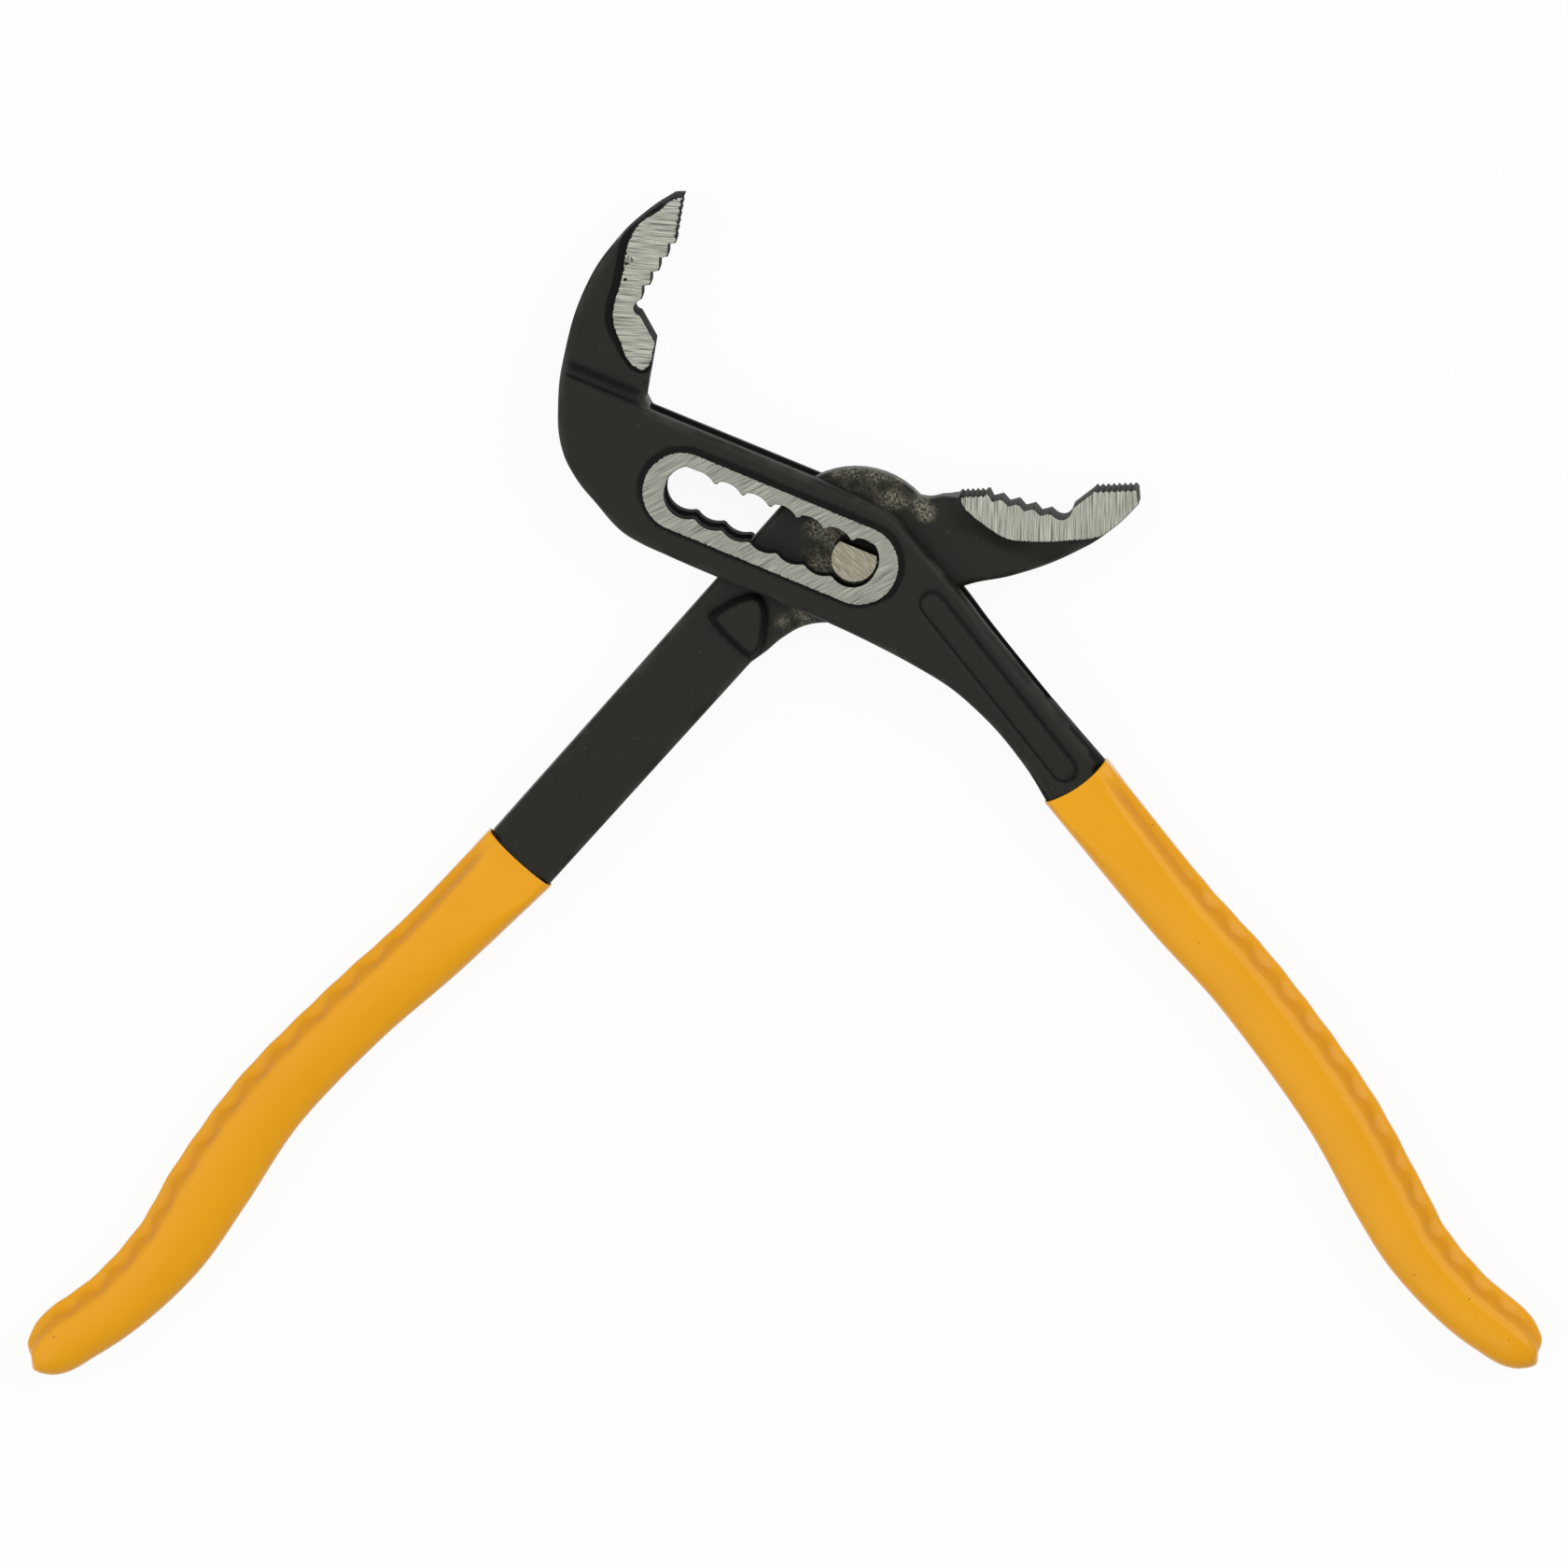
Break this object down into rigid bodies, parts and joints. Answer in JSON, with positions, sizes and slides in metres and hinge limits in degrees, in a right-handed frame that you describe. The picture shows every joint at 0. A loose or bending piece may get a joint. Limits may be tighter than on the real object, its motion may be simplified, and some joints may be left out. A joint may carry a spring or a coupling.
{
  "type": "water pump pliers",
  "caption": "Box-joint water pump pliers lying wide open, with a toothed slot for the sliding pivot pin, offset toothed jaws and dipped grips on both handles.",
  "frame": {"origin": "on the pivot pin's axis, in the plane of the pin's back end and the back slot pad, which the tool rests on", "axes": "+Z along the pivot pin towards the front face, +Y from the handles towards the jaws, +X towards the through arm's jaw"},
  "size_m": [0.2696, 0.2101, 0.016],
  "materials": {
    "black_steel": "black forged steel with a fine texture, ground bright on the slot pad and the jaw faces",
    "pin_steel": "ground steel",
    "dipped_pvc": "glossy yellow dipped PVC"
  },
  "bodies": {
    "slotted_arm": {"slotted_arm": "black_steel", "slotted_arm_grip": "dipped_pvc"},
    "pivot_pin": {"pivot_pin": "pin_steel"},
    "through_arm": {"through_arm": "black_steel", "through_arm_grip": "dipped_pvc"}
  },
  "joints": [
    {"name": "pivot_slide", "type": "slide", "parent": "slotted_arm", "child": "pivot_pin", "axis": [-0.9235, 0.3835, 0], "range_m": [0, 0.03144]},
    {"name": "arm_hinge", "type": "hinge", "parent": "pivot_pin", "child": "through_arm", "pos_m": [0, 0, 0.008], "axis": [0, 0, 1], "range_deg": [0, 73.5]}
  ]
}
